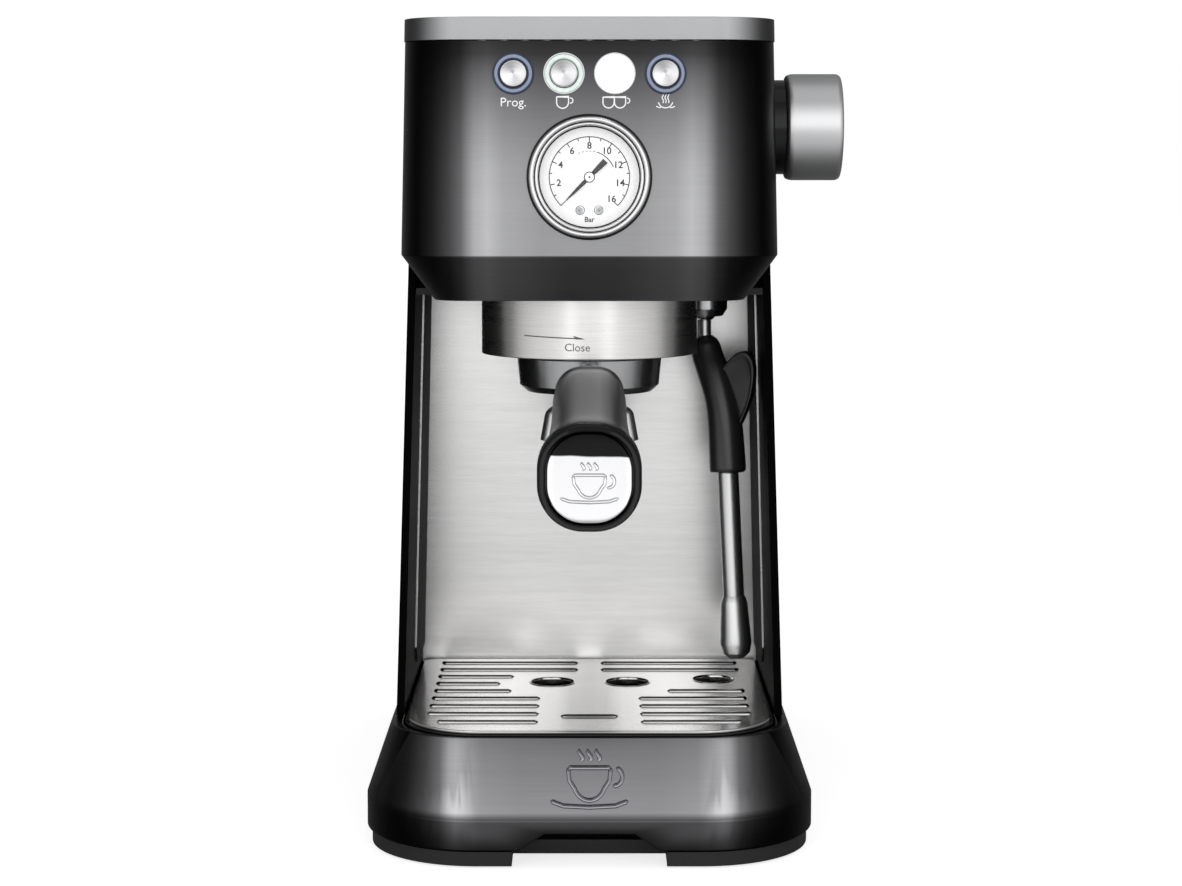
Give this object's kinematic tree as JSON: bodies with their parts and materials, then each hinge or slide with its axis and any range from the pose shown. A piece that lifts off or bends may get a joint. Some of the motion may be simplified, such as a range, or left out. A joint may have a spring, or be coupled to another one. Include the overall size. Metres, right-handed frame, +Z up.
{
  "type": "espresso machine",
  "caption": "Slim pump espresso machine with a pressure gauge, lit push-buttons, side steam knob, locking portafilter, steam wand, drip tray drawer and rear water tank.",
  "frame": {"origin": "middle of the footprint at the underside of the base plate, level with the worktop", "axes": "+Z up, +Y to the rear where the water tank is, -Y to the user, +X to the steam knob side"},
  "size_m": [0.2074, 0.4147, 0.3603],
  "materials": {
    "gunmetal": "brushed gunmetal lacquer",
    "black_metal": "satin black coat",
    "satin_grey": "bead-blasted satin",
    "stainless": "brushed",
    "steel_plate": "brushed and pressed",
    "chrome": "polished",
    "polished_tube": "polished tube",
    "black_plastic": "fine grain",
    "grip_plastic": "satin",
    "black_rubber": "matt",
    "dial_white": "printed",
    "ink_black": "flat",
    "clear_glass": "clear",
    "tank_clear": "smoked clear plastic",
    "ring_light": "diffusing light ring",
    "spun_cap": "spun",
    "cast_alu": "cast",
    "brass": "turned",
    "board_green": "circuit board",
    "silicone": "silicone tube"
  },
  "bodies": {
    "frame": {"base_plate": "black_plastic", "feet": "black_rubber", "base_screws": "polished_tube", "base_housing": "gunmetal", "cord_gland": "black_rubber", "rocker_frame": "black_plastic", "left_side_panel": "black_metal", "right_side_panel": "black_metal", "splash_back": "stainless", "tank_bay_wall": "black_plastic", "tank_dock": "black_plastic", "head_shell": "gunmetal", "head_underside": "black_plastic", "top_cap": "satin_grey", "cup_tray": "stainless", "cup_tray_screws": "polished_tube", "button_light_rings": "ring_light", "button_switches": "black_plastic", "control_board": "board_green", "gauge_case": "black_plastic", "gauge_bezel": "chrome", "gauge_dial": "dial_white", "dial_screws": "polished_tube", "gauge_glass": "clear_glass", "knob_collar": "black_plastic", "steam_valve": "brass", "group_collar": "stainless", "group_head": "cast_alu", "group_gasket": "black_rubber", "shower_screen": "stainless", "shower_screw": "polished_tube", "wand_socket": "chrome", "thermoblock": "cast_alu", "solenoid_valve": "black_plastic", "pump": "black_plastic", "hoses": "silicone"},
    "power_rocker": {"power_rocker": "black_plastic"},
    "tray_drawer": {"tray_front": "gunmetal", "tray_tub": "black_plastic"},
    "drip_plate": {"drip_plate": "steel_plate"},
    "portafilter": {"portafilter_body": "chrome", "twin_spout": "chrome", "filter_basket": "polished_tube", "portafilter_grip": "grip_plastic", "grip_end_plate": "chrome"},
    "steam_knob": {"steam_knob": "satin_grey", "steam_spindle": "brass"},
    "button_program": {"button_program": "spun_cap"},
    "button_one_cup": {"button_one_cup": "spun_cap"},
    "button_two_cup": {"button_two_cup": "spun_cap"},
    "button_steam": {"button_steam": "spun_cap"},
    "gauge_pointer": {"gauge_pointer": "ink_black"},
    "water_tank": {"water_tank": "tank_clear", "tank_outlet": "black_plastic", "tank_handle": "polished_tube"},
    "tank_lid": {"tank_lid": "black_plastic"},
    "wand_ball": {"wand_ball": "chrome"},
    "steam_wand": {"wand_pipe": "polished_tube", "wand_sleeve": "black_rubber", "wand_tip": "polished_tube"}
  },
  "joints": [
    {"name": "rocker_tilt", "type": "hinge", "parent": "frame", "child": "power_rocker", "pos_m": [-0.04, 0.1565, 0.033], "axis": [1, 0, 0], "range_deg": [0, 16]},
    {"name": "tray_slide", "type": "slide", "parent": "frame", "child": "tray_drawer", "axis": [0, -1, 0], "range_m": [0, 0.165]},
    {"name": "drip_plate_lift", "type": "slide", "parent": "tray_drawer", "child": "drip_plate", "axis": [0, 0, 1], "range_m": [0, 0.007]},
    {"name": "portafilter_turn", "type": "hinge", "parent": "frame", "child": "portafilter", "pos_m": [0, -0.0655, 0.223], "axis": [0, 0, 1], "range_deg": [-45, 0]},
    {"name": "steam_knob_turn", "type": "hinge", "parent": "frame", "child": "steam_knob", "pos_m": [0.098, -0.1025, 0.3143], "axis": [1, 0, 0], "range_deg": [0, 180]},
    {"name": "button_program_press", "type": "slide", "parent": "frame", "child": "button_program", "axis": [0, 1, 0], "range_m": [0, 0.0015], "stiffness_N_per_m": 300, "springref_m": -0.001},
    {"name": "button_one_cup_press", "type": "slide", "parent": "frame", "child": "button_one_cup", "axis": [0, 1, 0], "range_m": [0, 0.0015], "stiffness_N_per_m": 300, "springref_m": -0.001},
    {"name": "button_two_cup_press", "type": "slide", "parent": "frame", "child": "button_two_cup", "axis": [0, 1, 0], "range_m": [0, 0.0015], "stiffness_N_per_m": 300, "springref_m": -0.001},
    {"name": "button_steam_press", "type": "slide", "parent": "frame", "child": "button_steam", "axis": [0, 1, 0], "range_m": [0, 0.0015], "stiffness_N_per_m": 300, "springref_m": -0.001},
    {"name": "gauge_pointer_turn", "type": "hinge", "parent": "frame", "child": "gauge_pointer", "pos_m": [0, -0.1495, 0.2928], "axis": [0, 1, 0], "range_deg": [0, 270]},
    {"name": "tank_lift", "type": "slide", "parent": "frame", "child": "water_tank", "axis": [0, 0, 1], "range_m": [0, 0.3]},
    {"name": "tank_lid_lift", "type": "slide", "parent": "water_tank", "child": "tank_lid", "axis": [0, 0, 1], "range_m": [0, 0.1]},
    {"name": "wand_tilt", "type": "hinge", "parent": "frame", "child": "wand_ball", "pos_m": [0.0538, -0.033, 0.231], "axis": [1, 0, 0], "range_deg": [-20, 8]},
    {"name": "wand_swing", "type": "hinge", "parent": "wand_ball", "child": "steam_wand", "pos_m": [0.0538, -0.033, 0.231], "axis": [0, 0, 1], "range_deg": [-60, 0]}
  ]
}
